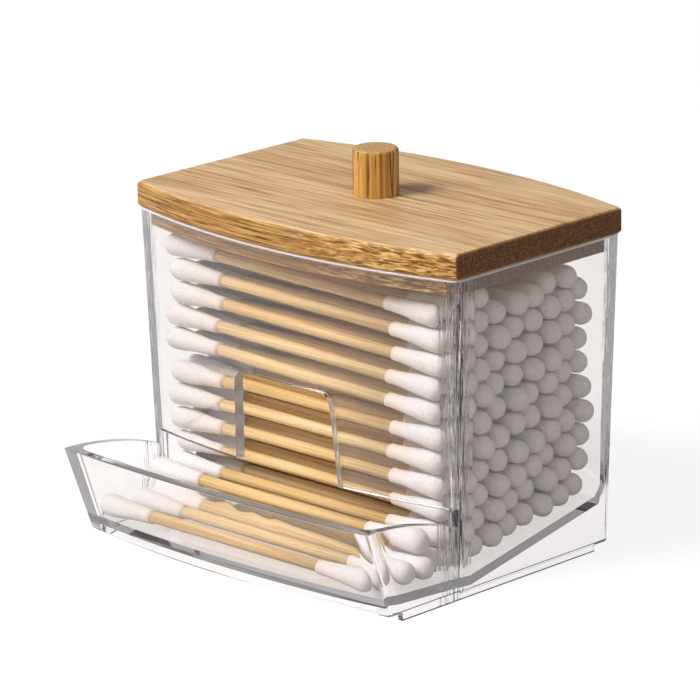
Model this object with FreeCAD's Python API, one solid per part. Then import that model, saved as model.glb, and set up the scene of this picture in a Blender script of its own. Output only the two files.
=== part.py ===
"""Cotton swab box: a clear moulded bin with a dispensing tray, a bamboo lid and its swabs.

Units are millimetres. +X is the width, along the swabs. The tray is at -Y and +Z is up.
Pieces are laid out about the lid's centre line, and moved at the end so that the origin
is the middle of the footprint, on the surface that the foot rails stand on.
"""
import FreeCAD, Part
import math
import os
import random

V = FreeCAD.Vector

# --- lid board: straight ends, bowed long edges, a plug that drops into the mouth ---
LID_SIDE = 48.2              # length of the straight ends
LID_BOW = 6.5                # bulge of the long edges past the corners
LID_THICKNESS = 5.4
LID_EASE = 0.6               # chamfer of the board's top and bottom edges
LID_CORNER = 0.9             # radius of its upright corners
PLUG_DEPTH = 3.6
PLUG_CLEARANCE = 0.7

# --- lid knob: a turned peg, glued into a blind hole ---
KNOB_DIAMETER = 9.3
KNOB_HEIGHT = 9.6
KNOB_CHAMFER = 0.4
SPIGOT_DIAMETER = 5.0
SPIGOT_LENGTH = 5.5
GLUE_GAP = 0.1

# --- clear box: side plates, bowed walls, floor and tray in one moulding ---
RIM_HEIGHT = 65.6
RIM_SETBACK = 0.3            # the rim stands this far inside the lid's edge
WALL = 2.4
FLOOR = 2.0
WALL_DRAFT = 0.024           # inward lean of the walls, per unit of drop below the rim
BOW_DRAFT = 0.04             # loss of bow, per unit of drop below the rim
BIN_CORNER = 2.0             # radius of the bin's upright corners, outside
BIN_CORNER_INSIDE = 1.0
CORNER_FLATS = 4             # narrow flats that make up each upright corner's rounding
RAIL_HEIGHT = 1.6            # the side plates and the tray's front end at this height
RAIL_WIDTH = 1.4
RAIL_ROOT = 0.6              # the rails reach this far up into the walls
RAIL_FRONT_INSET = 3.4
RAIL_BACK_INSET = 3.8

# --- floor line: tray floor, slope and back chamfer ---
SLOPE_FOOT_Y = -17.8
SLOPE_FOOT_Z = 4.2           # top of the floor where the slope starts
SLOPE_RISE = 0.2
SLOPE_ROOM = 5.3             # the slope ends this far short of the lid's back corners
CHAMFER_RISE = 1.3
TRAY_RISE = 0.055            # gentle rise of the tray floor towards its front

# --- tray ---
TRAY_FRONT_Y = -41.3         # foot of the tray's front wall, at its corners
TRAY_FLARE = 6.8             # the corners lean out this far up to the lip
TRAY_BOW_FOOT = 3.9
TRAY_BOW_LIP = 1.9
LIP_HEIGHT = 20.1
TRAY_SIDE_DROP = 4.6         # drop of the side edge from the lip to the bin
TRAY_STEP = 0.5              # the tray's sides stand this far inside the bin's
TRAY_CORNER = 0.6            # radius of the tray's front corners, outside
TRAY_CORNER_INSIDE = 3.0

# --- front wall: it hangs from the rim, with an arched notch over the slot ---
SLOT_HEIGHT = 18.5
NOTCH_HEIGHT = 19.2
NOTCH_WIDTH = 26.0
NOTCH_FLARE = 1.4            # each side of the notch opens this much towards the slot
NOTCH_RADIUS = 3.0

# --- cotton swabs ---
SWAB_LENGTH = 75.6
STICK_DIAMETER = 2.4
BUD_DIAMETER = 4.85
BUD_LENGTH = 14.5
BUD_BELLY = 3.6              # distance of the bud's widest ring from its tip
BUD_TIP = 0.46               # flat of the tip, as a share of the bud's diameter
HEEL_WALL = 0.25             # cotton left around the stick at the bud's heel
SWAB_SIDES = 6
END_ROOM = 3.9               # from a swab's end to the side wall, at the rim
COLUMN_GAP = 0.05            # between one column's buds and the next
COLUMN_BACK_ROOM = 1.6       # from the back wall to the last column's middle, at the rim's corners
COLUMN_FRONT_ROOM = 1.6      # least that the front column's middle leaves in the same way
STACK_GAP = 0.03             # least gap between one swab and the next
STACK_SLACK = 0.14           # most that a looser seat adds to it
LOOSE_LIFT = 0.9             # most that a column's one loose seat lifts either end
FRONT_LIFT = 2.0             # lift of the left ends in the front column, above its loose seat
LOOSE_HEIGHTS = (12.5, 37.5)  # least and greatest height of that seat over the column's foot
FRONT_LOOSE_HEIGHT = 27.0    # the same in the front column
SIDE_SHIFT = 1.2             # swabs lie up to this far off the middle
FLOW_HEIGHT = 16.0           # below this height over the floor, a column leans to the tray
FLOW_FRONT = 2.2             # forward lean at the foot of the front column
FLOW_BACK = 2.9              # the same for the back column
PLUG_HEADROOM = 0.9          # least space between the pile and the lid's plug
TRAY_SWABS = ((2.59, 0), (1.16, 0), (0.1, 0), (0.0, 1))   # pitches before the pile, and layer
TRAY_SWAB_GAP = 0.35         # from the pile to the nearest of them
TRAY_FRONT_ROOM = 1.6        # least space from the tray's front to a swab's middle
SCATTER_SEED = 7

# --- what follows from the sizes ---
LID_WIDTH = SWAB_LENGTH + 2 * (END_ROOM + WALL + RIM_SETBACK)
COLUMN_PITCH = BUD_DIAMETER + COLUMN_GAP
BASE_Z = RAIL_HEIGHT
LID_TOP = RIM_HEIGHT + LID_THICKNESS


def half_width(z):
    """Half the outer width of the side plates at height z."""
    return LID_WIDTH / 2 - RIM_SETBACK - WALL_DRAFT * (RIM_HEIGHT - z)


def wall_y(z):
    """Outer corner of the back wall at height z; the front wall mirrors it."""
    return LID_SIDE / 2 - RIM_SETBACK - WALL_DRAFT * (RIM_HEIGHT - z)


def wall_bow(z):
    """Bulge of the bowed walls past their corners at height z."""
    return LID_BOW - BOW_DRAFT * (RIM_HEIGHT - z)


def chain(points):
    """Straight edges from each point to the next."""
    return [Part.LineSegment(start, end).toShape() for start, end in zip(points, points[1:])]


def bowed_wall(half, corner_y, bow, z, inset, side_inset, corner):
    """Edges from -X to +X along a bowed wall and round its two corners; bow < 0 faces the front.

    The wall's arc is moved inwards by inset, and the straight sides by side_inset.
    """
    facing = math.copysign(1, bow)
    full_radius = (half**2 + bow**2) / (2 * abs(bow))
    centre = V(0, corner_y + bow - facing * full_radius, z)
    radius = full_radius - inset
    reach = half - side_inset - corner
    turn = V(reach, centre.y + facing * math.sqrt((radius - corner)**2 - reach**2), z)
    first = math.atan2(turn.y - centre.y, turn.x)
    spokes = [first * (1 - i / CORNER_FLATS) for i in range(CORNER_FLATS + 1)]
    right = [turn + V(corner * math.cos(spoke), corner * math.sin(spoke), 0) for spoke in spokes]
    left = [V(-point.x, point.y, point.z) for point in reversed(right)]
    wall = Part.Arc(left[-1], centre + V(0, facing * radius, 0), right[0]).toShape()
    return chain(left) + [wall] + chain(right)


def closed_wire(front, back):
    """Wire from two chains of edges that run from -X to +X, closed by straight sides."""
    sides = [Part.LineSegment(front[i].Vertexes[i].Point, back[i].Vertexes[i].Point).toShape()
             for i in (0, -1)]
    return Part.Wire(Part.__sortEdges__(front + back + sides))


def bin_section(z, inset=0.0, corner=BIN_CORNER):
    """Outline of the bin at height z, with both long walls bowed."""
    walls = [bowed_wall(half_width(z), facing * wall_y(z), facing * wall_bow(z), z,
                        inset, inset, corner) for facing in (-1, 1)]
    return closed_wire(*walls)


def tray_section(z, inset=0.0, side_inset=TRAY_STEP, corner=TRAY_CORNER):
    """Outline of the tray at height z, with a straight edge inside the bin."""
    rise = (z - BASE_Z) / (LIP_HEIGHT - BASE_Z)
    corner_y = TRAY_FRONT_Y - TRAY_FLARE * rise
    bow = TRAY_BOW_FOOT + (TRAY_BOW_LIP - TRAY_BOW_FOOT) * rise
    front = bowed_wall(half_width(z), corner_y, -bow, z, inset, side_inset, corner)
    half = half_width(z) - side_inset
    back = Part.LineSegment(V(-half, SLOPE_FOOT_Y, z), V(half, SLOPE_FOOT_Y, z)).toShape()
    return closed_wire(front, [back])


def loft(section, z_low, z_high, *shape):
    """Straight loft of one kind of section between two heights."""
    return Part.makeLoft([section(z, *shape) for z in (z_low, z_high)], True, True)


def across(points, half=LID_WIDTH):
    """Prism along X from a closed outline of (y, z) points."""
    outline = [V(-half, y, z) for y, z in points]
    face = Part.Face(Part.makePolygon(outline + outline[:1]))
    return face.extrude(V(2 * half, 0, 0))


def floor_line(drop=0.0):
    """The floor's (y, z) line from the tray to the back, moved down square to itself."""
    foot = (SLOPE_FOOT_Y, SLOPE_FOOT_Z)
    top_y = LID_SIDE / 2 - SLOPE_ROOM
    top = (top_y, SLOPE_FOOT_Z + (top_y - SLOPE_FOOT_Y) * SLOPE_RISE)
    runs = ((-TRAY_RISE, foot), (SLOPE_RISE, foot), (CHAMFER_RISE, top))
    lines = [(rise, z - rise * y - drop * math.hypot(1, rise)) for rise, (y, z) in runs]
    corners = [(level - following) / (steeper - rise)
               for (rise, level), (steeper, following) in zip(lines, lines[1:])]
    ys = [-LID_WIDTH] + corners + [LID_SIDE]
    return [(y, level + rise * y) for y, (rise, level) in zip(ys, lines[:1] + lines)]


def floor_height(y):
    """Height of the floor's top under a given y."""
    points = floor_line()
    for (y0, z0), (y1, z1) in zip(points, points[1:]):
        if y <= y1:
            return z0 + (z1 - z0) * (y - y0) / (y1 - y0)
    return points[-1][1]


def above_floor(height):
    """Space over the floor, up to a height."""
    line = floor_line()
    return across(line + [(line[-1][0], height), (line[0][0], height)])


def below_floor():
    """Space under the floor slab."""
    line = floor_line(FLOOR)
    return across(line + [(line[-1][0], -FLOOR), (line[0][0], -FLOOR)])


def tray_block():
    """Tray blank: flared bowed front, with its side edges curving down to the bin."""
    blank = loft(tray_section, BASE_Z, LIP_HEIGHT)
    start_y = TRAY_FRONT_Y - TRAY_FLARE
    run = -wall_y(LIP_HEIGHT) - start_y
    radius = (run**2 + TRAY_SIDE_DROP**2) / (2 * TRAY_SIDE_DROP)
    below = Part.makeCylinder(radius, 2 * LID_WIDTH, V(-LID_WIDTH, start_y, LIP_HEIGHT - radius),
                              V(1, 0, 0))
    front = Part.makeBox(2 * LID_WIDTH, LID_WIDTH, 2 * LIP_HEIGHT,
                         V(-LID_WIDTH, start_y - LID_WIDTH, -LIP_HEIGHT))
    return blank.common(below.fuse(front))


def notch():
    """Arched cutter for the front wall: rounded above, opening towards the slot."""
    top = SLOT_HEIGHT + NOTCH_HEIGHT
    half = NOTCH_WIDTH / 2
    low = SLOT_HEIGHT - WALL
    points = [V(-half - NOTCH_FLARE, 0, low), V(-half, 0, top), V(half, 0, top),
              V(half + NOTCH_FLARE, 0, low)]
    reach = wall_y(RIM_HEIGHT) + wall_bow(RIM_HEIGHT) + WALL
    blank = Part.Face(Part.makePolygon(points + points[:1])).extrude(V(0, -reach, 0))
    crown = [edge for edge in blank.Edges
             if edge.BoundBox.YLength > reach / 2 and edge.BoundBox.ZMin > top - WALL]
    return blank.makeFillet(NOTCH_RADIUS, crown)


def foot_rails():
    """Two rails that the box stands on, one under each side plate."""
    front = TRAY_FRONT_Y + RAIL_FRONT_INSET
    back = wall_y(BASE_Z) - RAIL_BACK_INSET
    middle_x = half_width(BASE_Z) - WALL / 2
    rails = []
    for side in (-1, 1):
        corner = V(side * middle_x - RAIL_WIDTH / 2, front, 0)
        rails.append(Part.makeBox(RAIL_WIDTH, back - front, BASE_Z + RAIL_ROOT, corner))
    return rails


def underside(tray_inner):
    """Hollow under the floor: open below and at the back, closed by the tray's front."""
    half_low = half_width(0) - WALL
    half_high = half_width(RIM_HEIGHT) - WALL
    between = [V(-half_low, SLOPE_FOOT_Y, 0), V(half_low, SLOPE_FOOT_Y, 0),
               V(half_high, SLOPE_FOOT_Y, RIM_HEIGHT), V(-half_high, SLOPE_FOOT_Y, RIM_HEIGHT)]
    behind = Part.Face(Part.makePolygon(between + between[:1])).extrude(V(0, 2 * LID_SIDE, 0))
    return behind.fuse(tray_inner).common(below_floor())


def clear_box():
    """The moulding: outer block, less bin, tray, underside and notch."""
    bin_outer = loft(bin_section, BASE_Z, RIM_HEIGHT)
    bin_inner = loft(bin_section, 0, RIM_HEIGHT + WALL, WALL, BIN_CORNER_INSIDE)
    bin_space = bin_inner.common(above_floor(RIM_HEIGHT + WALL))

    over_slot = Part.makeBox(2 * LID_WIDTH, LID_WIDTH, LID_WIDTH,
                             V(-LID_WIDTH, -LID_SIDE, SLOT_HEIGHT))
    tray_inner = loft(tray_section, 0, LIP_HEIGHT + WALL, WALL, WALL, TRAY_CORNER_INSIDE)
    tray_space = tray_inner.common(above_floor(LIP_HEIGHT + WALL))
    tray_space = tray_space.cut(bin_outer.common(over_slot))

    box = bin_outer.fuse(tray_block())
    for cutter in (bin_space, tray_space, underside(tray_inner), notch()):
        box = box.cut(cutter)
    for rail in foot_rails():
        box = box.fuse(rail)
    return box.removeSplitter()


def lid_section(z, inset, corner):
    """Outline of the lid board, or of the plug when moved inwards."""
    walls = [bowed_wall(LID_WIDTH / 2, facing * LID_SIDE / 2, facing * LID_BOW, z,
                        inset, inset, corner) for facing in (-1, 1)]
    return closed_wire(*walls)


def lid_board():
    """Board with eased edges, a plug under it and a blind hole for the knob."""
    board = Part.Face(lid_section(RIM_HEIGHT, 0, LID_CORNER)).extrude(V(0, 0, LID_THICKNESS))
    level = [edge for edge in board.Edges if edge.BoundBox.ZLength < LID_EASE]
    board = board.makeChamfer(LID_EASE, level)
    plug_inset = RIM_SETBACK + WALL + PLUG_CLEARANCE
    plug = Part.Face(lid_section(RIM_HEIGHT - PLUG_DEPTH, plug_inset, BIN_CORNER_INSIDE))
    plug = plug.extrude(V(0, 0, PLUG_DEPTH + LID_EASE))
    hole_depth = SPIGOT_LENGTH + GLUE_GAP
    hole = Part.makeCylinder(SPIGOT_DIAMETER / 2 + GLUE_GAP, hole_depth + LID_EASE,
                             V(0, 0, LID_TOP - hole_depth))
    return board.fuse(plug).cut(hole).removeSplitter()


def lid_knob():
    """Turned knob with a chamfered top edge and a spigot under it."""
    knob_radius = KNOB_DIAMETER / 2
    spigot_radius = SPIGOT_DIAMETER / 2
    profile = [V(0, 0, -SPIGOT_LENGTH), V(spigot_radius, 0, -SPIGOT_LENGTH), V(spigot_radius, 0, 0),
               V(knob_radius, 0, 0), V(knob_radius, 0, KNOB_HEIGHT - KNOB_CHAMFER),
               V(knob_radius - KNOB_CHAMFER, 0, KNOB_HEIGHT), V(0, 0, KNOB_HEIGHT)]
    knob = Part.Face(Part.makePolygon(profile + profile[:1])).revolve(V(0, 0, 0), V(0, 0, 1), 360)
    knob.translate(V(0, 0, LID_TOP))
    return knob


def turned(profile):
    """Flat-sided solid about the X axis from its (x, diameter) rings, corners up and down."""
    rings = []
    for x, diameter in profile:
        turns = [2 * math.pi * i / SWAB_SIDES for i in range(SWAB_SIDES)]
        rings.append([V(x, diameter / 2 * math.sin(turn), diameter / 2 * math.cos(turn))
                      for turn in turns])
    outlines = [rings[0], rings[-1]]
    for ring, following in zip(rings, rings[1:]):
        for i in range(SWAB_SIDES):
            outlines.append([ring[i - 1], ring[i], following[i], following[i - 1]])
    faces = [Part.Face(Part.makePolygon(outline + outline[:1])) for outline in outlines]
    return Part.Solid(Part.Shell(faces))


def stick():
    """Wooden stick along X, between the heels of its two buds."""
    half = SWAB_LENGTH / 2 - BUD_LENGTH
    return turned([(-half, STICK_DIAMETER), (half, STICK_DIAMETER)])


def bud():
    """Cotton bud at the +X end: blunt tip, full belly, long taper to the stick."""
    tip = SWAB_LENGTH / 2
    return turned([(tip, BUD_DIAMETER * BUD_TIP), (tip - BUD_BELLY, BUD_DIAMETER),
                   (tip - BUD_LENGTH, STICK_DIAMETER + 2 * HEEL_WALL)])


def swab(left_z, right_z, y, shift):
    """Stick and two buds of one swab, from the heights of its ends."""
    pitch = math.degrees(math.atan2(left_z - right_z, SWAB_LENGTH))
    turn = FreeCAD.Rotation(V(0, 1, 0), pitch)
    place = FreeCAD.Placement(V(shift, y, (left_z + right_z) / 2), turn)
    wood = stick()
    right = bud()
    left = right.mirror(V(0, 0, 0), V(1, 0, 0))
    for piece in (wood, left, right):
        piece.Placement = place
    return wood, [left, right]


def column_places():
    """The y of each column's middle, from the front one to the back one."""
    back_y = wall_y(RIM_HEIGHT) - WALL - COLUMN_BACK_ROOM
    front_y = WALL + COLUMN_FRONT_ROOM - wall_y(RIM_HEIGHT)
    count = 1 + math.floor((back_y - front_y) / COLUMN_PITCH)
    return [back_y - (count - 1 - index) * COLUMN_PITCH for index in range(count)]


def column(index, scatter):
    """One column of the pile, stacked up from the floor to just under the plug."""
    places = column_places()
    column_y = places[index]
    flow = FLOW_FRONT + (FLOW_BACK - FLOW_FRONT) * index / (len(places) - 1)
    seat = floor_height(column_y - flow) + BUD_DIAMETER / 2 * math.hypot(1, SLOPE_RISE) + STACK_GAP
    ceiling = RIM_HEIGHT - PLUG_DEPTH - PLUG_HEADROOM - BUD_DIAMETER / 2
    loose_z = seat + scatter.uniform(*LOOSE_HEIGHTS)
    lifts = [scatter.uniform(0, LOOSE_LIFT), scatter.uniform(0, LOOSE_LIFT)]
    if index == 0:
        loose_z = seat + FRONT_LOOSE_HEIGHT
        lifts = [FRONT_LIFT, 0]
    heights = [seat, seat]
    sticks = []
    buds = []
    while max(heights) < ceiling:
        level = min(1, (min(heights) - seat) / FLOW_HEIGHT)
        y = column_y - flow * (1 - level)**2
        wood, cotton = swab(*heights, y, scatter.uniform(-SIDE_SHIFT, SIDE_SHIFT))
        sticks.append(wood)
        buds.extend(cotton)
        step = BUD_DIAMETER + STACK_GAP
        below = heights
        heights = [z + step + scatter.uniform(0, STACK_SLACK) for z in below]
        if below[0] < loose_z <= heights[0]:
            heights = [z + lift for z, lift in zip(heights, lifts)]
    return sticks, buds


def tray_swabs(scatter):
    """The few swabs that have rolled out into the tray."""
    sticks = []
    buds = []
    nearest_y = column_places()[0] - FLOW_FRONT - COLUMN_PITCH - TRAY_SWAB_GAP
    for pitches, layer in TRAY_SWABS:
        y = nearest_y - pitches * COLUMN_PITCH
        if y < TRAY_FRONT_Y + TRAY_FRONT_ROOM:
            continue
        z = floor_height(y) + BUD_DIAMETER / 2 + STACK_GAP + layer * (BUD_DIAMETER + STACK_GAP)
        wood, cotton = swab(z, z, y, scatter.uniform(-SIDE_SHIFT, SIDE_SHIFT))
        sticks.append(wood)
        buds.extend(cotton)
    return sticks, buds


if __name__ == "__main__":
    os.makedirs("parts", exist_ok=True)
    scatter = random.Random(SCATTER_SEED)
    nodes = {"clear_box": clear_box(), "lid_board": lid_board(), "lid_knob": lid_knob()}
    piles = {f"column_{index + 1}": column(index, scatter)
             for index in range(len(column_places()))}
    piles["tray"] = tray_swabs(scatter)
    for place, (sticks, buds) in piles.items():
        nodes[f"sticks_{place}"] = Part.makeCompound(sticks)
        nodes[f"buds_{place}"] = Part.makeCompound(buds)
    front_y = TRAY_FRONT_Y - TRAY_FLARE - TRAY_BOW_LIP
    back_y = LID_SIDE / 2 + LID_BOW
    centring = V(0, -(front_y + back_y) / 2, 0)
    for name, shape in nodes.items():
        shape.translate(centring)
        shape.exportStep(f"parts/{name}.step")
        print(name, len(shape.Solids), round(shape.Volume, 1), shape.isValid())
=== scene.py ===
"""Looks of the cotton swab box: clear moulded bin, bamboo lid and knob, and the swabs.

Lengths are in metres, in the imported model's frame: +X along the swabs, the tray at -Y, +Z up.
"""
import math
import random

import bmesh
import bpy
from mathutils import Matrix, Vector, noise


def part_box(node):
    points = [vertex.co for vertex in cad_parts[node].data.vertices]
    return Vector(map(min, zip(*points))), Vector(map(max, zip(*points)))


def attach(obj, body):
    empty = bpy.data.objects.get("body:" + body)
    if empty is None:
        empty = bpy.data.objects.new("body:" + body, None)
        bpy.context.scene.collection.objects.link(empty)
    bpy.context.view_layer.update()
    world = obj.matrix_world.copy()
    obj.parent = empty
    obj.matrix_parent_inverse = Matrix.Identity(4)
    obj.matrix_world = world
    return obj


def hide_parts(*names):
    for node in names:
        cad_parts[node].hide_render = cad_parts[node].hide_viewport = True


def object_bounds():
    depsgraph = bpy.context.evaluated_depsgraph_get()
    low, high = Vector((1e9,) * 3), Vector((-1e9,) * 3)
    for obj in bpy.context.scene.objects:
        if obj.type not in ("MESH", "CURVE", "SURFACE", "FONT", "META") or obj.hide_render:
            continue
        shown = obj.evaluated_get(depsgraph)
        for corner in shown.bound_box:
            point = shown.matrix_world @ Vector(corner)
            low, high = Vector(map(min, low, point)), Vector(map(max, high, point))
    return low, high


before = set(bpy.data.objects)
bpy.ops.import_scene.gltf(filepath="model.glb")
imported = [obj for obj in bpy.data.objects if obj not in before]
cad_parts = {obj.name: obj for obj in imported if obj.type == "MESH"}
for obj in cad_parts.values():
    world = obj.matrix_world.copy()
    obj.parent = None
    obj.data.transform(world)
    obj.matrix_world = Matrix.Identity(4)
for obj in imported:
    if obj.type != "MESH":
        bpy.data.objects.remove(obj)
CAD_LOW, CAD_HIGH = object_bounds()

# --- camera, aimed at a point given from the middle of the footprint ---
AZIMUTH = math.radians(44.204)
ELEVATION = math.radians(16.242)
ROLL = math.radians(-0.847)
DISTANCE = 0.957
AIM = Vector((0.01326, -0.01210, 0.04562))
LENS_MM = 249.82
SENSOR_MM = 36.0

# --- reading the CAD solids ---
SAME_POINT = 1e-6            # vertices nearer than this are one
END_SHARE = 0.15             # this share of a solid's length at each end holds its end ring
HEEL_SHARE = 0.9             # rings past this share of a bud's length are at its heel

# --- swabs ---
STICK_SIDES = 12
STICK_OVERLAP = 0.004        # a stick runs on this far inside each bud
BUD_SIDES = 20
BUD_RINGS = 18
RING_CROWDING = 1.35         # above 1, the rings stand closer together at the tip
BUD_FULLNESS = 0.96          # radius of a soft bud, as a share of its plain solid's corners
BUD_BELLY = 0.66             # place of its widest ring, in the same way
BUD_ROUNDNESS = (0.42, 0.5)  # power that rounds the tip, chosen for each bud in this range
BUD_TIP = 0.004              # least rise at the tip, before that power
TAPER_POWER = 0.85           # below 1, the taper starts sooner behind the belly
BUD_LUMPS = 0.07             # unevenness of the wound cotton, as a share of its radius
LUMPS_AROUND = 1.6           # how fast it changes around a bud
LUMPS_ALONG = 4.0            # and along it
LUMPS_SHIFT = 50.0           # each bud takes its lumps from its own place in this range
SEED = 11

# --- roundings on moulded and sawn edges ---
BOX_EASE = 0.00022
LID_EASE = 0.00018
SHARP = math.radians(32)     # edges that turn more than this are eased

# --- grain: scale of each noise, in waves per metre along X, Y and Z or all three ways ---
BOARD_FIBRES = (32, 1050, 1050)
BOARD_THREADS = (60, 1700, 1700)
BOARD_BANDS = (9, 160, 160)
LONG_DASHES = (90, 160, 2900)
SHORT_DASHES = (300, 460, 2300)
END_SPECKLE = 2600
KNOB_STRIPS = (900, 900, 14)
KNOB_VESSELS = (1500, 1500, 60)
KNOB_DOTS = 1500
STICK_GRAIN = (40, 2600, 2600)
STICK_CHANGE = (0, 330, 330)
COTTON_FIBRES = (1300, 3200, 3200)
WALL_RIPPLE = 60
FLOW_STREAKS = (1400, 1400, 75)

# --- colours that follow a noise: its value, then sRGB channels from 0 to 255 ---
TOP_COLOURS = ((0.32, (178, 138, 88)), (0.46, (228, 192, 144)), (0.7, (247, 219, 175)))
THREAD_TINTS = ((0.32, (190, 160, 126)), (0.5, (255, 255, 255)))
BAND_TINTS = ((0.35, (232, 216, 198)), (0.65, (255, 252, 246)))
LONG_DASH_COLOURS = ((0.36, (98, 58, 16)), (0.44, (150, 102, 42)),
                     (0.54, (186, 138, 72)), (0.68, (218, 178, 112)))
SHORT_DASH_COLOURS = ((0.38, (122, 74, 24)), (0.47, (172, 120, 54)),
                      (0.56, (206, 160, 90)), (0.66, (234, 196, 130)))
END_COLOURS = ((0.35, (72, 40, 16)), (0.55, (122, 78, 34)), (0.7, (156, 108, 54)))
KNOB_COLOURS = ((0.34, (120, 68, 18)), (0.43, (176, 122, 46)),
                (0.54, (206, 156, 78)), (0.7, (228, 186, 112)))
VESSEL_TINTS = ((0.37, (84, 46, 14)), (0.43, (255, 255, 255)))
KNOB_TOP_COLOURS = ((0.35, (174, 126, 66)), (0.6, (216, 174, 112)))
STICK_COLOURS = ((0.3, (210, 172, 116)), (0.5, (234, 204, 152)), (0.7, (243, 219, 174)))
STICK_TINTS = ((0.35, (240, 224, 200)), (0.65, (255, 252, 246)))
COTTON_COLOURS = ((0.3, (220, 215, 215)), (0.6, (241, 237, 237)))
# warm tint by the heel: cotton thinning over the stick, and painted warm shade of the gaps
# between swabs
COTTON_HEEL_AND_SHADE = (238, 225, 214)

FACING = (0.55, 0.8)         # share of a face's normal along an axis, to start and fully face it
SHORT_DASHES_FROM = 0.022    # the edges' long dashes give way to short ones from the middle to X
COTTON_WHITE_FROM = 0.029       # from this far sideways the cotton is thick and white, without painted shade
COTTON_THIN_AND_SHADED_AT = 0.0235      # and up to here the stick shows through it, under painted warm shade of the gaps between swabs

# --- clear plastic ---
PLASTIC = (253, 251, 250)
# matt white that paints a highlight along the rim and on the sides of the notch
PLASTIC_MATT_HIGHLIGHT = (250, 244, 242)
LIGHT_TINT = (253, 251, 249)      # of light that passes straight through one face
TRAPPED_TINT = (205, 204, 207)    # and of light that has been turned back many times
TURNS_GLOSSY = 1.5                # more reflections than this count as many
TURNS_IN_ALL = 8.5                # and so do more bounces of any kind than this
DEPTH_TINT = (205, 200, 202)      # grey of a long way through the plastic
DEPTH_DENSITY = 14.0
CORNER_Y = 0.0238            # the bin's upright corners, from the middle of the lid
FLOW_REACH = 0.0050          # flow lines fade out this far from them
FLOW_FULL = 0.6 * FLOW_REACH
RIPPLE_SHARE = 0.05          # depth of the walls' slow ripple against that of the flow lines
RIM_BAND = 0.0005            # the matt white band, a painted highlight on the rim, fades out this far below its top
RIM_FULL = 0.6 * RIM_BAND
RIM_HIGHLIGHT_MATT = 0.6               # how matt the rim is, which paints a white highlight line along it
NOTCH_HIGHLIGHT_MATT = 0.35            # how matt the sides of the notch are, which paints a highlight on them
NOTCH_HALF = 0.020           # nothing but the notch's sides faces sideways this near the middle

# --- stage ---
FLOOR_SIZE = 3.0
FLOOR_GAP = 0.00005          # the floor lies this far below the foot rails
FLOOR_BOUNCE = 0.42          # share of the light that the floor sends back up
FLOOR_WHITE = 0.84           # the floor's own white to the eye
FLOOR_SHADE = 0.26           # share of the light that it shows there, so that shadows show
FLOOR_MIRRORED = 0.5         # share of that white that reflections show
RIGHT_MIRRORED = 0.05        # and to the right of the object, where the studio is darker
WORLD_LIGHT = 0.27           # fill light from all around
WORLD_FILL = (1.0, 0.95, 0.925, 1.0)
WORLD_SEEN = ((0.05, (255, 255, 255)), (0.35, (104, 103, 105)))    # by height, in reflections
WHITE = (1.0, 1.0, 1.0, 1.0)
LAMPS = (("key", (-0.32, -0.82, 0.93), 0.5, 13.6),    # name, place, side and watts
         ("front", (-0.6, -1.05, 0.3), 0.8, 3.6),
         ("side", (1.1, -0.35, 0.75), 0.4, 2.1))


class Nodes:
    """Short way to add and join the nodes of one tree."""

    def __init__(self, tree):
        self.tree = tree
        tree.nodes.clear()

    def set(self, socket, value):
        if isinstance(value, bpy.types.NodeSocket):
            self.tree.links.new(value, socket)
        else:
            socket.default_value = value

    def add(self, kind, inputs=None, **settings):
        node = self.tree.nodes.new(kind)
        for name, value in settings.items():
            setattr(node, name, value)
        for name, value in (inputs or {}).items():
            self.set(node.inputs[name], value)
        return node

    def place(self):
        """Place on the object, in the model's frame."""
        return self.add("ShaderNodeTexCoord").outputs["Object"]

    def part(self, vector, axis):
        return self.add("ShaderNodeSeparateXYZ", {"Vector": vector}).outputs[axis]

    def math(self, operation, *values):
        return self.add("ShaderNodeMath", dict(enumerate(values)), operation=operation).outputs[0]

    def times(self, first, second):
        return self.math("MULTIPLY", first, second)

    def spread(self, value, ends, to=(0.0, 1.0), **settings):
        """value, taken from its ends to those of to, and held there beyond them."""
        node = self.add("ShaderNodeMapRange", {"Value": value, "From Min": ends[0],
                                               "From Max": ends[1], "To Min": to[0],
                                               "To Max": to[1]}, **settings)
        return node.outputs["Result"]

    def noise(self, coords, scale, detail=2.0, roughness=0.5, distortion=0.0):
        node = self.add("ShaderNodeTexNoise", {"Vector": coords, "Scale": scale, "Detail": detail,
                                               "Roughness": roughness, "Distortion": distortion})
        return node.outputs["Fac"]

    def grain(self, coords, scale, offset=(0.0, 0.0, 0.0), **settings):
        """Noise of another scale along each axis."""
        node = self.add("ShaderNodeMapping", {"Vector": coords, "Scale": scale,
                                              "Location": offset})
        return self.noise(node.outputs["Vector"], 1.0, **settings)

    def ramp(self, value, stops):
        node = self.add("ShaderNodeValToRGB", {"Fac": value})
        elements = node.color_ramp.elements
        while len(elements) < len(stops):
            elements.new(1.0)
        for element, (place, colour) in zip(elements, stops):
            element.position = place
            element.color = srgb(colour)
        return node.outputs["Color"]

    def mix(self, factor, first, second, blend="MIX"):
        node = self.add("ShaderNodeMix", {"Factor": factor}, data_type="RGBA", blend_type=blend)
        self.set(node.inputs[6], first)      # the colour sockets share their names with others
        self.set(node.inputs[7], second)
        return node.outputs[2]

    def mix_shaders(self, factor, first, second):
        return self.add("ShaderNodeMixShader", {0: factor, 1: first, 2: second}).outputs["Shader"]

    def bump(self, height, strength, distance):
        return self.add("ShaderNodeBump", {"Height": height, "Strength": strength,
                                           "Distance": distance}).outputs["Normal"]

    def principled(self, colour, normal, **settings):
        inputs = {name.replace("_", " "): value for name, value in settings.items()}
        return self.add("ShaderNodeBsdfPrincipled", {"Base Color": colour, "Normal": normal,
                                                     **inputs}).outputs["BSDF"]

    def surface(self, shader):
        return self.add("ShaderNodeOutputMaterial", {"Surface": shader})


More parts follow.
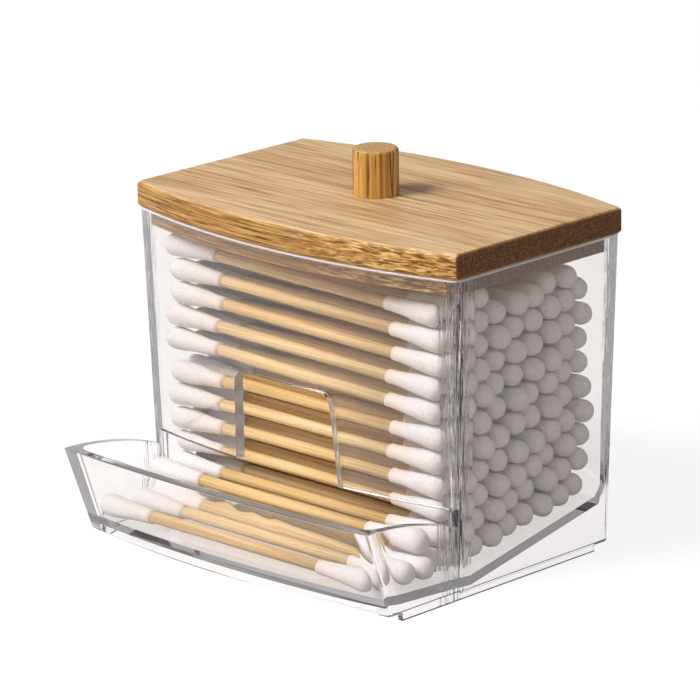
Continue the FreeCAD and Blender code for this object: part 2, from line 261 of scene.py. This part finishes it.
def linear(channel):
    """Linear value of one sRGB channel."""
    if channel <= 0.04045:
        return channel / 12.92
    return ((channel + 0.055) / 1.055) ** 2.4


def srgb(colour):
    """Linear colour from 0 to 255 sRGB channels."""
    return (*(linear(channel / 255) for channel in colour), 1.0)


def grey(level):
    return (level, level, level, 1.0)


def new_material(name):
    material = bpy.data.materials.new(name)
    material.use_nodes = True
    return material, Nodes(material.node_tree)


def facing(nodes, axis):
    """1 where the surface faces along an object axis, either way, and 0 where it doesn't."""
    normal = nodes.add("ShaderNodeTexCoord").outputs["Normal"]
    along = nodes.math("ABSOLUTE", nodes.part(normal, axis))
    return nodes.spread(along, FACING, interpolation_type="SMOOTHSTEP")


def bamboo_board():
    """Lacquered bamboo: fine straight fibres on top, dashes on the long edges, dark ends."""
    material, nodes = new_material("bamboo_board")
    place = nodes.place()

    fibres = nodes.grain(place, BOARD_FIBRES, detail=4.0, roughness=0.7, distortion=0.15)
    threads = nodes.grain(place, BOARD_THREADS, offset=(3.1, 0.4, 0.0))
    bands = nodes.grain(place, BOARD_BANDS, offset=(0.7, 0.2, 0.1))
    top = nodes.ramp(fibres, TOP_COLOURS)
    top = nodes.mix(0.62, top, nodes.ramp(threads, THREAD_TINTS), "MULTIPLY")
    top = nodes.mix(0.8, top, nodes.ramp(bands, BAND_TINTS), "MULTIPLY")

    long_dashes = nodes.grain(place, LONG_DASHES, detail=4.0, roughness=0.7, distortion=0.2)
    short_dashes = nodes.grain(place, SHORT_DASHES, distortion=0.7)
    to_right = nodes.spread(nodes.part(place, "X"), (0.0, SHORT_DASHES_FROM))
    edge = nodes.mix(to_right, nodes.ramp(long_dashes, LONG_DASH_COLOURS),
                     nodes.ramp(short_dashes, SHORT_DASH_COLOURS))
    speckle = nodes.noise(place, END_SPECKLE, detail=3.0, roughness=0.6)

    colour = nodes.mix(facing(nodes, "Y"), top, edge)
    colour = nodes.mix(facing(nodes, "X"), colour, nodes.ramp(speckle, END_COLOURS))
    relief = nodes.math("ADD", fibres, nodes.times(short_dashes, 0.6))
    normal = nodes.bump(relief, strength=0.35, distance=0.0002)
    nodes.surface(nodes.principled(colour, normal, Roughness=0.42, Specular_IOR_Level=0.32))
    return material


def bamboo_knob():
    """Turned bamboo: upright fibres with dark vessels, paler end grain on top."""
    material, nodes = new_material("bamboo_knob")
    place = nodes.place()
    strips = nodes.grain(place, KNOB_STRIPS, detail=3.0, roughness=0.6, distortion=0.1)
    vessels = nodes.grain(place, KNOB_VESSELS, offset=(0.3, 0.8, 0.0), distortion=0.3)
    side = nodes.ramp(strips, KNOB_COLOURS)
    side = nodes.mix(0.75, side, nodes.ramp(vessels, VESSEL_TINTS), "MULTIPLY")
    dots = nodes.noise(place, KNOB_DOTS, detail=3.0, roughness=0.6)
    colour = nodes.mix(facing(nodes, "Z"), side, nodes.ramp(dots, KNOB_TOP_COLOURS))
    normal = nodes.bump(strips, strength=0.4, distance=0.0002)
    nodes.surface(nodes.principled(colour, normal, Roughness=0.45, Specular_IOR_Level=0.4))
    return material


def stick_wood():
    """Bare pale wood with faint straight grain, a little different on each stick."""
    material, nodes = new_material("stick_wood")
    place = nodes.place()
    grain = nodes.grain(place, STICK_GRAIN, detail=3.0, roughness=0.6, distortion=0.1)
    change = nodes.grain(place, STICK_CHANGE, detail=0.0)
    colour = nodes.ramp(grain, STICK_COLOURS)
    colour = nodes.mix(0.9, colour, nodes.ramp(change, STICK_TINTS), "MULTIPLY")
    normal = nodes.bump(grain, strength=0.25, distance=0.0001)
    nodes.surface(nodes.principled(colour, normal, Roughness=0.6, Specular_IOR_Level=0.3))
    return material


def cotton():
    """Wound white cotton: matt, soft, with a fine fibrous relief, warmer where it thins out over
    the stick, with painted warm shade of the gaps between swabs there.
    """
    material, nodes = new_material("cotton")
    place = nodes.place()
    fibres = nodes.grain(place, COTTON_FIBRES, detail=4.0, roughness=0.65, distortion=0.8)
    sideways = nodes.math("ABSOLUTE", nodes.part(place, "X"))
    # warmer by the heel: thin cotton over the stick, and painted warm shade between the swabs
    thin_and_shaded = nodes.spread(sideways, (COTTON_WHITE_FROM, COTTON_THIN_AND_SHADED_AT))
    colour = nodes.mix(thin_and_shaded, nodes.ramp(fibres, COTTON_COLOURS), srgb(COTTON_HEEL_AND_SHADE))
    normal = nodes.bump(fibres, strength=0.22, distance=0.0003)
    nodes.surface(nodes.principled(colour, normal, Roughness=0.95, Specular_IOR_Level=0.1,
                                   Sheen_Weight=0.12, Sheen_Roughness=0.6))
    return material


def near_corner(nodes, place):
    """1 by the bin's upright corners, where the moulding has flow lines, and 0 away from them."""
    low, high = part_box("lid_board")
    from_middle = nodes.math("SUBTRACT", nodes.part(place, "Y"), (low.y + high.y) / 2)
    across = nodes.math("SUBTRACT", nodes.math("ABSOLUTE", nodes.part(place, "X")), high.x)
    along = nodes.math("SUBTRACT", nodes.math("ABSOLUTE", from_middle), CORNER_Y)
    squares = nodes.math("ADD", nodes.times(across, across), nodes.times(along, along))
    return nodes.spread(nodes.math("SQRT", squares), (FLOW_REACH, FLOW_FULL))


def painted_highlight_places(nodes, place):
    """How matt the plastic is, as a painted highlight: along the rim and on the sides of the
    notch.
    """
    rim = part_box("clear_box")[1].z
    at_rim = nodes.spread(nodes.part(place, "Z"), (rim - RIM_BAND, rim - RIM_FULL),
                          to=(0.0, RIM_HIGHLIGHT_MATT))
    sideways = nodes.math("ABSOLUTE", nodes.part(place, "X"))
    at_notch = nodes.times(nodes.math("LESS_THAN", sideways, NOTCH_HALF), facing(nodes, "X"))
    return nodes.math("MAXIMUM", at_rim, nodes.times(at_notch, NOTCH_HIGHLIGHT_MATT))


def clear_plastic():
    """Clear polystyrene, a little grey over a long way through it.

    Light for what lies behind it passes straight through, and so does light that has been
    turned back inside the walls several times.
    """
    material, nodes = new_material("clear_plastic")
    place = nodes.place()
    ripple = nodes.noise(place, WALL_RIPPLE, roughness=0.4)
    streaks = nodes.grain(place, FLOW_STREAKS, detail=1.0, distortion=0.6)
    relief = nodes.math("ADD", nodes.times(ripple, RIPPLE_SHARE),
                        nodes.times(streaks, near_corner(nodes, place)))
    normal = nodes.bump(relief, strength=1.0, distance=0.0008)
    polished = nodes.principled(srgb(PLASTIC), normal, Roughness=0.02, IOR=1.5,
                                Specular_IOR_Level=0.36, Transmission_Weight=1.0)
    # matt white on the rim and the notch's sides: a painted highlight
    matt = nodes.add("ShaderNodeBsdfDiffuse", {"Color": srgb(PLASTIC_MATT_HIGHLIGHT)}).outputs["BSDF"]
    plastic = nodes.mix_shaders(painted_highlight_places(nodes, place), polished, matt)

    path = nodes.add("ShaderNodeLightPath").outputs
    lighting = nodes.math("MAXIMUM", path["Is Shadow Ray"], path["Is Diffuse Ray"])
    trapped = nodes.math("MAXIMUM",
                         nodes.math("GREATER_THAN", path["Glossy Depth"], TURNS_GLOSSY),
                         nodes.math("GREATER_THAN", path["Ray Depth"], TURNS_IN_ALL))
    tint = nodes.mix(trapped, srgb(LIGHT_TINT), srgb(TRAPPED_TINT))
    passed = nodes.add("ShaderNodeBsdfTransparent", {"Color": tint}).outputs["BSDF"]
    output = nodes.surface(nodes.mix_shaders(nodes.math("MAXIMUM", lighting, trapped),
                                             plastic, passed))
    depth = nodes.add("ShaderNodeVolumeAbsorption", {"Color": srgb(DEPTH_TINT),
                                                     "Density": DEPTH_DENSITY})
    nodes.set(output.inputs["Volume"], depth.outputs["Volume"])
    return material


def link(item):
    bpy.context.scene.collection.objects.link(item)


def new_object(name, mesh):
    """Puts a finished bmesh in the scene."""
    data = bpy.data.meshes.new(name)
    mesh.to_mesh(data)
    mesh.free()
    item = bpy.data.objects.new(name, data)
    link(item)
    return item


def add_piece(name, mesh, material, slot, *replaced, body="box"):
    mesh.normal_update()
    piece = new_object(name, mesh)
    piece.data.materials.append(material)
    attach(piece, body)
    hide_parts(*replaced)
    return piece


def cad_mesh(node_name):
    """A CAD node's own mesh, with its faces joined along their edges."""
    mesh = bmesh.new()
    mesh.from_mesh(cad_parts[node_name].data)
    bmesh.ops.remove_doubles(mesh, verts=mesh.verts, dist=SAME_POINT)
    return mesh


def islands(node_name):
    """Vertex places of each separate solid in a CAD node, in the order of its vertices."""
    mesh = cad_mesh(node_name)
    found = []
    unseen = set(mesh.verts)
    for start in mesh.verts:
        if start not in unseen:
            continue
        unseen.discard(start)
        group = [start]
        for vertex in group:
            for edge in vertex.link_edges:
                other = edge.other_vert(vertex)
                if other in unseen:
                    unseen.discard(other)
                    group.append(other)
        found.append([vertex.co.copy() for vertex in group])
    mesh.free()
    return found


def mean(points):
    return sum(points, Vector()) / len(points)


def axis_ends(points):
    """Middle of the leftmost and of the rightmost ring of a solid that lies along X."""
    low = min(point.x for point in points)
    high = max(point.x for point in points)
    near = END_SHARE * (high - low)
    return (mean([point for point in points if point.x < low + near]),
            mean([point for point in points if point.x > high - near]))


def revolve(mesh, start, end, profile, sides, uneven=None):
    """Adds a closed turned form about the line from start to end.

    profile holds (share of the line, radius) pairs, and uneven(share, turn) scales a radius.
    """
    along = end - start
    to_line = along.to_track_quat("Z", "Y")
    rings = []
    for share, radius in profile:
        ring = []
        for i in range(sides):
            turn = 2 * math.pi * i / sides
            size = radius * (uneven(share, turn) if uneven else 1.0)
            offset = to_line @ Vector((size * math.cos(turn), size * math.sin(turn), 0))
            ring.append(mesh.verts.new(start + share * along + offset))
        rings.append(ring)
    for ring, following in zip(rings, rings[1:]):
        for i in range(sides):
            mesh.faces.new((ring[i - 1], ring[i], following[i], following[i - 1]))
    mesh.faces.new(list(reversed(rings[0])))
    mesh.faces.new(rings[-1])
    for face in mesh.faces:
        face.smooth = True


def bud_profile(radius, heel_radius, belly, rng):
    """Rounded tip, full belly and long taper, from the tip to the heel."""
    roundness = rng.uniform(*BUD_ROUNDNESS)
    profile = []
    for i in range(BUD_RINGS):
        share = (i / (BUD_RINGS - 1)) ** RING_CROWDING
        if share < belly:
            rise = 1 - (1 - share / belly) ** 2
            size = radius * max(rise, BUD_TIP) ** roundness
        else:
            fall = ((share - belly) / (1 - belly)) ** TAPER_POWER
            fullness = 0.5 + 0.5 * math.cos(math.pi * fall)
            size = heel_radius + (radius - heel_radius) * fullness
        profile.append((share, size))
    return profile


def lumps(rng):
    """Slow unevenness of one bud's wound cotton."""
    shift = Vector([rng.uniform(0, LUMPS_SHIFT) for _ in range(3)])

    def uneven(share, turn):
        around = Vector((LUMPS_AROUND * math.cos(turn), LUMPS_AROUND * math.sin(turn),
                         LUMPS_ALONG * share))
        return 1 + BUD_LUMPS * noise.noise(around + shift)
    return uneven


def eased(node_name, material, slot, body, width):
    """A CAD node's own form with its sharp edges slightly rounded."""
    mesh = cad_mesh(node_name)
    sharp = [edge for edge in mesh.edges
             if edge.is_convex and edge.calc_face_angle(0.0) > SHARP]
    bmesh.ops.bevel(mesh, geom=sharp, offset=width, offset_type="OFFSET", segments=2, profile=0.5,
                    affect="EDGES", clamp_overlap=False)
    for face in mesh.faces:
        face.smooth = True
    for edge in mesh.edges:
        edge.smooth = edge.is_convex or edge.calc_face_angle(0.0) < SHARP
    piece = add_piece(f"eased_{node_name}", mesh, material, slot, node_name, body=body)
    piece.modifiers.new("even_shading", "WEIGHTED_NORMAL").keep_sharp = True


def round_sticks(node_name, material):
    """Round sticks in the place of one column's plain ones."""
    mesh = bmesh.new()
    for points in islands(node_name):
        left, right = axis_ends(points)
        radius = max(abs(point.z - (left if point.x < 0 else right).z) for point in points)
        reach = (right - left).normalized() * STICK_OVERLAP
        profile = [(0, radius), (1, radius)]
        revolve(mesh, left - reach, right + reach, profile, STICK_SIDES)
    add_piece(f"round_{node_name}", mesh, material, "stick_wood", node_name)


def soft_buds(node_name, material, rng):
    """Soft buds in the place of one column's plain ones."""
    mesh = bmesh.new()
    for points in islands(node_name):
        left, right = axis_ends(points)
        tip, heel = (left, right) if left.x + right.x < 0 else (right, left)
        length = (heel - tip).length
        along = (heel - tip).normalized()
        spread = [(point - tip).cross(along).length for point in points]
        depths = [(point - tip).dot(along) for point in points]
        belly = depths[spread.index(max(spread))] / length
        heel_radius = min(size for size, depth in zip(spread, depths)
                          if depth > HEEL_SHARE * length)
        profile = bud_profile(BUD_FULLNESS * max(spread), heel_radius, BUD_BELLY * belly, rng)
        revolve(mesh, tip, heel, profile, BUD_SIDES, lumps(rng))
    add_piece(f"soft_{node_name}", mesh, material, "cotton", node_name)


def add_swabs():
    rng = random.Random(SEED)
    wood = stick_wood()
    white = cotton()
    for name in sorted(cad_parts):
        if name.startswith("sticks"):
            round_sticks(name, wood)
        if name.startswith("buds"):
            soft_buds(name, white, rng)


def floor_white():
    """White to the eye, which keeps some of the object's shadow, and plain grey to the light."""
    material, nodes = new_material("floor_white")
    path = nodes.add("ShaderNodeLightPath").outputs
    mirrored = nodes.spread(nodes.part(nodes.place(), "X"), (CAD_HIGH.x, 2 * CAD_HIGH.x),
                            to=(FLOOR_MIRRORED, RIGHT_MIRRORED))
    looked_at = nodes.math("MAXIMUM", path["Is Camera Ray"], path["Is Transmission Ray"])
    seen = nodes.math("MAXIMUM", nodes.times(path["Is Glossy Ray"], mirrored), looked_at)
    tone = nodes.mix(seen, grey(FLOOR_BOUNCE), grey(FLOOR_SHADE))
    shaded = nodes.add("ShaderNodeBsdfDiffuse", {"Color": tone})
    white = nodes.add("ShaderNodeEmission", {"Color": WHITE,
                                             "Strength": nodes.times(seen, FLOOR_WHITE)})
    both = nodes.add("ShaderNodeAddShader", {0: shaded.outputs[0], 1: white.outputs[0]})
    nodes.surface(both.outputs["Shader"])
    return material


def add_floor():
    mesh = bmesh.new()
    bmesh.ops.create_grid(mesh, x_segments=1, y_segments=1, size=FLOOR_SIZE / 2)
    floor = new_object("floor", mesh)
    floor.location.z = CAD_LOW.z - FLOOR_GAP
    floor.data.materials.append(floor_white())


def add_world():
    """White all around to the eye, and a plain soft fill for the object."""
    world = bpy.data.worlds.new("studio")
    world.use_nodes = True
    bpy.context.scene.world = world
    nodes = Nodes(world.node_tree)

    def background(colour, strength):
        return nodes.add("ShaderNodeBackground", {"Color": colour,
                                                  "Strength": strength}).outputs[0]

    path = nodes.add("ShaderNodeLightPath").outputs
    direction = nodes.add("ShaderNodeTexCoord").outputs["Generated"]
    around = nodes.ramp(nodes.part(direction, "Z"), WORLD_SEEN)
    bent = nodes.math("MAXIMUM", path["Is Glossy Ray"], path["Is Transmission Ray"])
    behind = nodes.mix_shaders(bent, background(WORLD_FILL, WORLD_LIGHT), background(around, 1.0))
    everywhere = nodes.mix_shaders(path["Is Camera Ray"], behind, background(WHITE, 1.0))
    nodes.add("ShaderNodeOutputWorld", {"Surface": everywhere})


def add_lamp(name, place, side, watts):
    """Soft square lamp that points at the middle of the object."""
    lamp = bpy.data.lights.new(name, "AREA")
    lamp.size = side
    lamp.energy = watts
    item = bpy.data.objects.new(name, lamp)
    item.location = place
    middle = (CAD_LOW + CAD_HIGH) / 2
    item.rotation_euler = (middle - Vector(place)).to_track_quat("-Z", "Y").to_euler()
    link(item)


def add_camera():
    camera = bpy.data.cameras.new("camera")
    camera.lens = LENS_MM
    camera.sensor_width = SENSOR_MM
    camera.clip_start = 0.01
    item = bpy.data.objects.new("camera", camera)
    level = math.cos(ELEVATION)
    back = Vector((math.sin(AZIMUTH) * level, -math.cos(AZIMUTH) * level, math.sin(ELEVATION)))
    turn = back.to_track_quat("Z", "Y").to_matrix() @ Matrix.Rotation(ROLL, 3, "Z")
    item.matrix_world = Matrix.Translation(AIM + DISTANCE * back) @ turn.to_4x4()
    link(item)
    bpy.context.scene.camera = item


eased("clear_box", clear_plastic(), "clear_plastic", "box", BOX_EASE)
eased("lid_board", bamboo_board(), "bamboo", "lid", LID_EASE)
eased("lid_knob", bamboo_knob(), "bamboo_knob", "lid", LID_EASE)
add_swabs()

add_floor()
add_world()
for lamp_row in LAMPS:
    add_lamp(*lamp_row)
add_camera()

bpy.context.scene.view_settings.view_transform = "Standard"
